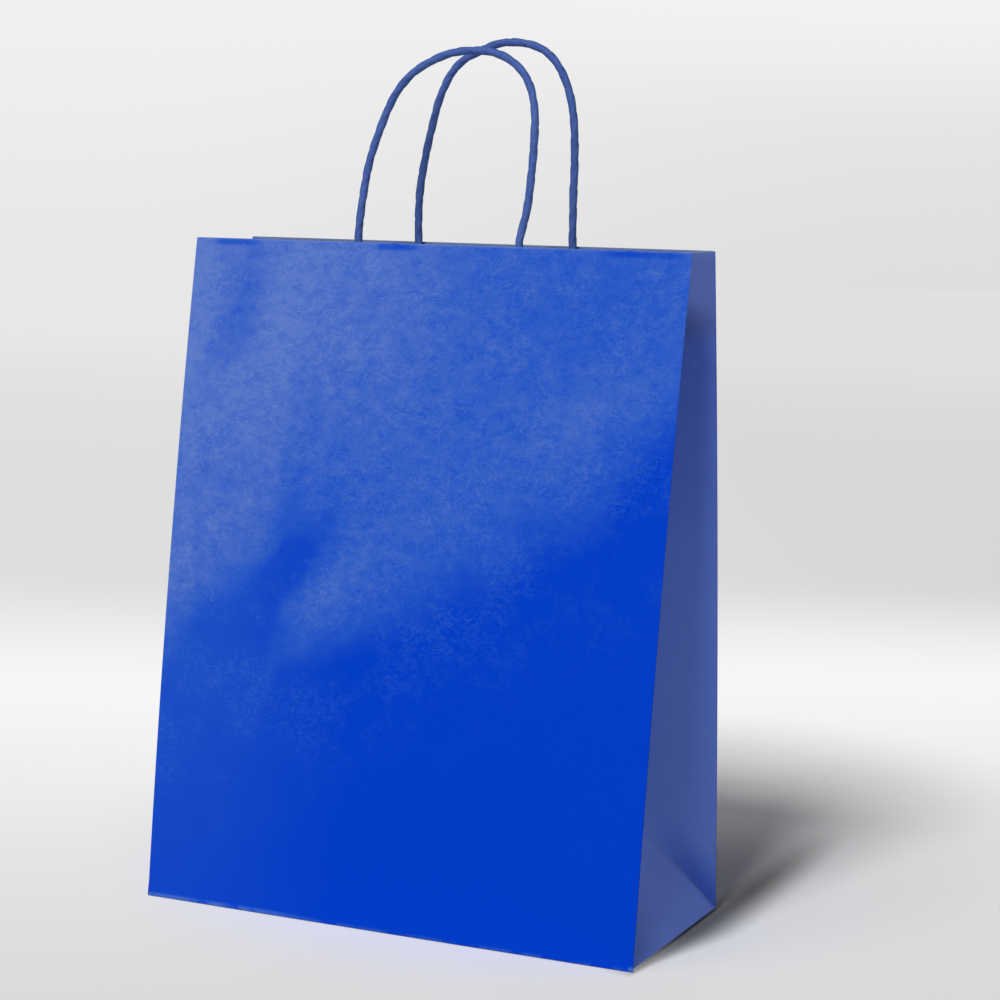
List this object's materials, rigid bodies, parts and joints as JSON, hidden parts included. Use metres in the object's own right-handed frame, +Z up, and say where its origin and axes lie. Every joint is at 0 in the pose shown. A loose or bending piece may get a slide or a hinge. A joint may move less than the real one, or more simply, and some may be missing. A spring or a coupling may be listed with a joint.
{
  "type": "paper bag",
  "caption": "Open paper carrier bag with a folded block bottom, side gussets, a turned-over top and twisted paper cord handles.",
  "frame": {"origin": "centre of the bag's bottom, on the surface it stands on", "axes": "+Z up to the mouth and handles, +X to the right along the wide front, +Y from the front to the back"},
  "size_m": [0.241, 0.1102, 0.3969],
  "materials": {
    "bag_paper": "blue printed kraft paper with a faint satin sheen",
    "handle_cord": "blue paper cord, tightly twisted",
    "strip_paper": "pale uncoated paper"
  },
  "bodies": {
    "root": {"bag_body": "bag_paper", "front_handle": "handle_cord", "back_handle": "handle_cord", "front_backing_strip": "strip_paper", "front_cover_strip": "strip_paper", "back_backing_strip": "strip_paper", "back_cover_strip": "strip_paper"}
  },
  "joints": []
}
